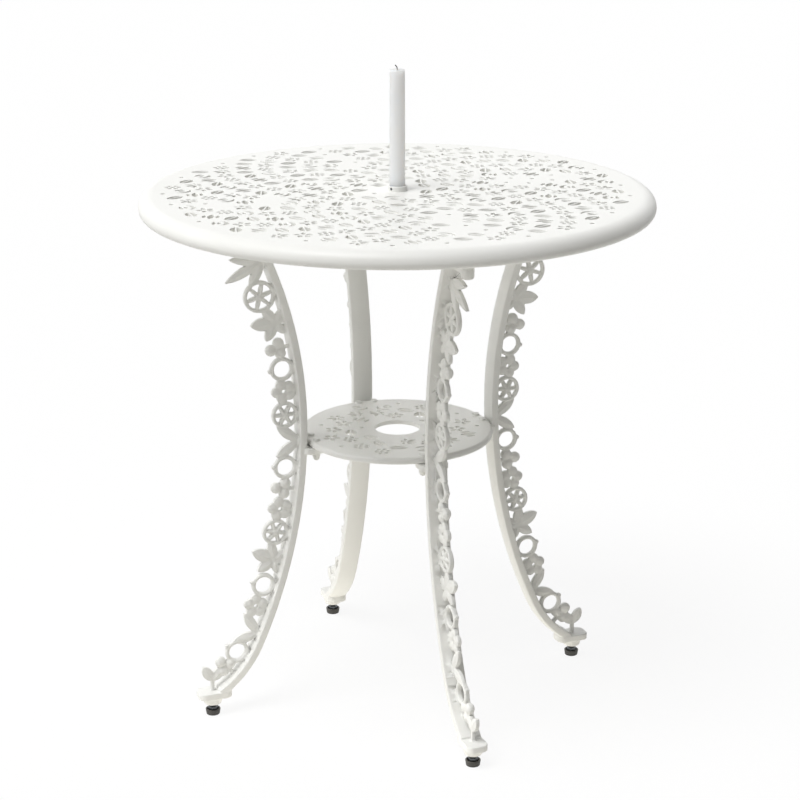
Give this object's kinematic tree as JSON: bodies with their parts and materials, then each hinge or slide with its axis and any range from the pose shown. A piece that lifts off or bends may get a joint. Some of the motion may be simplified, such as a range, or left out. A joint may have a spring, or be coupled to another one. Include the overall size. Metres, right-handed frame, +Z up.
{
  "type": "round garden table",
  "caption": "Round cast-metal garden table with a pierced top, bowed foliage legs, a small round shelf, levelling feet and a candle in a central cup.",
  "frame": {"origin": "on the floor, on the axis of the table", "axes": "+Z up; the legs stand along +X, +Y, -X and -Y"},
  "size_m": [0.72, 0.72, 0.9255],
  "materials": {
    "powder_coat": "white satin powder coat on cast aluminium",
    "painted_hardware": "white painted steel",
    "zinc_steel": "bright zinc plate",
    "black_plastic": "moulded black plastic",
    "wax": "smooth white wax",
    "cotton": "charred plaited cotton"
  },
  "bodies": {
    "frame": {"table_top": "powder_coat", "leg_right": "powder_coat", "leg_back": "powder_coat", "leg_left": "powder_coat", "leg_front": "powder_coat", "shelf": "powder_coat", "leg_screws": "zinc_steel", "leg_screw_washers": "zinc_steel", "shelf_screws": "painted_hardware", "shelf_washers": "painted_hardware", "shelf_cap_nuts": "painted_hardware", "candle_cup": "powder_coat", "candle_ring_nut": "zinc_steel", "candle_clamp_screw": "zinc_steel"},
    "candle": {"candle": "wax", "candle_wick": "cotton"},
    "stud_right": {"foot_stud_right": "zinc_steel"},
    "glide_right": {"foot_nut_right": "zinc_steel", "foot_glide_right": "black_plastic"},
    "stud_back": {"foot_stud_back": "zinc_steel"},
    "glide_back": {"foot_nut_back": "zinc_steel", "foot_glide_back": "black_plastic"},
    "stud_left": {"foot_stud_left": "zinc_steel"},
    "glide_left": {"foot_nut_left": "zinc_steel", "foot_glide_left": "black_plastic"},
    "stud_front": {"foot_stud_front": "zinc_steel"},
    "glide_front": {"foot_nut_front": "zinc_steel", "foot_glide_front": "black_plastic"}
  },
  "joints": [
    {"name": "candle_lift", "type": "slide", "parent": "frame", "child": "candle", "axis": [0, 0, 1], "range_m": [0, 0.04]},
    {"name": "right_foot_travel", "type": "slide", "parent": "frame", "child": "stud_right", "axis": [0, 0, -1], "range_m": [0, 0.0075]},
    {"name": "right_foot_turn", "type": "hinge", "parent": "stud_right", "child": "glide_right", "pos_m": [0.287, 0, 0], "axis": [0, 0, -1], "range_deg": [0, 2160]},
    {"name": "back_foot_travel", "type": "slide", "parent": "frame", "child": "stud_back", "axis": [0, 0, -1], "range_m": [0, 0.0075]},
    {"name": "back_foot_turn", "type": "hinge", "parent": "stud_back", "child": "glide_back", "pos_m": [0, 0.287, 0], "axis": [0, 0, -1], "range_deg": [0, 2160]},
    {"name": "left_foot_travel", "type": "slide", "parent": "frame", "child": "stud_left", "axis": [0, 0, -1], "range_m": [0, 0.0075]},
    {"name": "left_foot_turn", "type": "hinge", "parent": "stud_left", "child": "glide_left", "pos_m": [-0.287, 0, 0], "axis": [0, 0, -1], "range_deg": [0, 2160]},
    {"name": "front_foot_travel", "type": "slide", "parent": "frame", "child": "stud_front", "axis": [0, 0, -1], "range_m": [0, 0.0075]},
    {"name": "front_foot_turn", "type": "hinge", "parent": "stud_front", "child": "glide_front", "pos_m": [0, -0.287, 0], "axis": [0, 0, -1], "range_deg": [0, 2160]}
  ],
  "couplings": [
    {"joint": "right_foot_travel", "follows": "right_foot_turn", "m_per_rad": 0.00019894},
    {"joint": "back_foot_travel", "follows": "back_foot_turn", "m_per_rad": 0.00019894},
    {"joint": "left_foot_travel", "follows": "left_foot_turn", "m_per_rad": 0.00019894},
    {"joint": "front_foot_travel", "follows": "front_foot_turn", "m_per_rad": 0.00019894}
  ]
}
